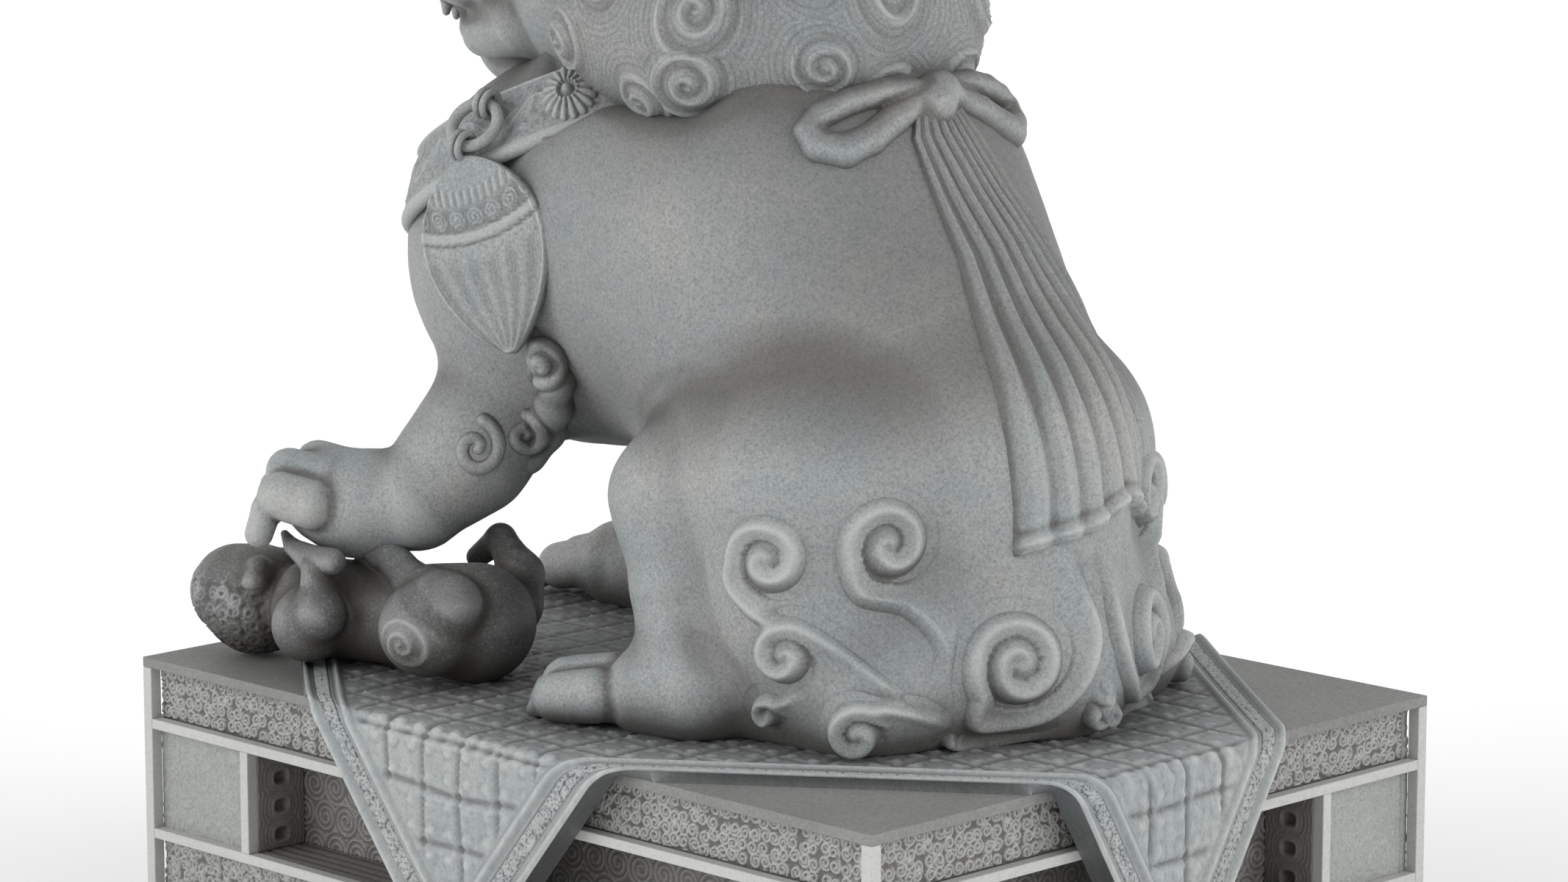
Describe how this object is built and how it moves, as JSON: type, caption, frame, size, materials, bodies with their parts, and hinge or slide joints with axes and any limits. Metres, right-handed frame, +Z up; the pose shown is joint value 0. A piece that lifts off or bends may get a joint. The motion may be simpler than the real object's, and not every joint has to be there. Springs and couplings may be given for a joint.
{
  "type": "guardian lion statue",
  "caption": "Seated stone guardian lion with a cub under its raised forepaw, loose ring and pendant on each shoulder, on a panelled pedestal with a draped stone cloth.",
  "frame": {"origin": "centre of the plinth underside, on the ground", "axes": "+Z up, the lion faces -Y, its left side is +X"},
  "size_m": [1, 1.288, 1.5714],
  "materials": {
    "frame_stone": "smooth rubbed grey stone with soft edges",
    "frieze_stone": "deeply carved grey stone, dark in the hollows",
    "panel_stone": "softly tooled grey stone",
    "niche_stone": "carved grey stone in shade",
    "cloth_stone": "grey stone carved as quilted cloth",
    "core_stone": "rough-sawn grey stone",
    "lion_stone": "fine-grained speckled grey stone, rubbed smooth",
    "harness_stone": "finely carved grey stone",
    "cub_stone": "fine-grained grey stone, darker",
    "dowel_steel": "plain round bar"
  },
  "bodies": {
    "statue": {"floor_plinth": "frame_stone", "foot_slab": "frame_stone", "core_block": "core_stone", "cap_slab": "frame_stone", "corner_posts": "frame_stone", "middle_rails": "frame_stone", "lower_rails": "frame_stone", "mullions": "frame_stone", "frieze_front": "frieze_stone", "frieze_rear": "frieze_stone", "frieze_left": "frieze_stone", "frieze_right": "frieze_stone", "foot_frieze_front": "frieze_stone", "foot_frieze_rear": "frieze_stone", "foot_frieze_left": "frieze_stone", "foot_frieze_right": "frieze_stone", "panels_front": "panel_stone", "panels_rear": "panel_stone", "panels_left": "panel_stone", "panels_right": "panel_stone", "niche_back_front": "niche_stone", "niche_back_rear": "niche_stone", "niche_back_left": "niche_stone", "niche_back_right": "niche_stone", "niche_cheeks_front": "niche_stone", "niche_cheeks_rear": "niche_stone", "niche_cheeks_left": "niche_stone", "niche_cheeks_right": "niche_stone", "niche_floors": "niche_stone", "cloth_top": "cloth_stone", "flap_front": "cloth_stone", "flap_rear": "cloth_stone", "flap_left": "cloth_stone", "flap_right": "cloth_stone", "lion_body": "lion_stone", "lion_head": "lion_stone", "sash": "lion_stone", "collar": "harness_stone", "collar_loops": "harness_stone", "collar_rosettes": "harness_stone", "cub": "cub_stone", "seat_dowels": "dowel_steel", "neck_dowel": "dowel_steel", "cub_dowel": "dowel_steel"},
    "ring_left": {"ring_left": "harness_stone"},
    "pendant_left": {"pendant_left": "harness_stone"},
    "ring_right": {"ring_right": "harness_stone"},
    "pendant_right": {"pendant_right": "harness_stone"}
  },
  "joints": [
    {"name": "ring_left_swing", "type": "hinge", "parent": "statue", "child": "ring_left", "pos_m": [0.23436, -0.22772, 1.03978], "axis": [0.1406, -0.9786, 0.1504], "range_deg": [0, 50]},
    {"name": "pendant_left_swing", "type": "hinge", "parent": "ring_left", "child": "pendant_left", "pos_m": [0.27108, -0.22934, 0.99492], "axis": [0.1406, -0.9786, 0.1504], "range_deg": [0, 45]},
    {"name": "ring_right_swing", "type": "hinge", "parent": "statue", "child": "ring_right", "pos_m": [-0.23436, -0.22772, 1.03978], "axis": [0.1406, 0.9786, -0.1504], "range_deg": [0, 50]},
    {"name": "pendant_right_swing", "type": "hinge", "parent": "ring_right", "child": "pendant_right", "pos_m": [-0.27108, -0.22934, 0.99492], "axis": [0.1406, 0.9786, -0.1504], "range_deg": [0, 45]}
  ]
}
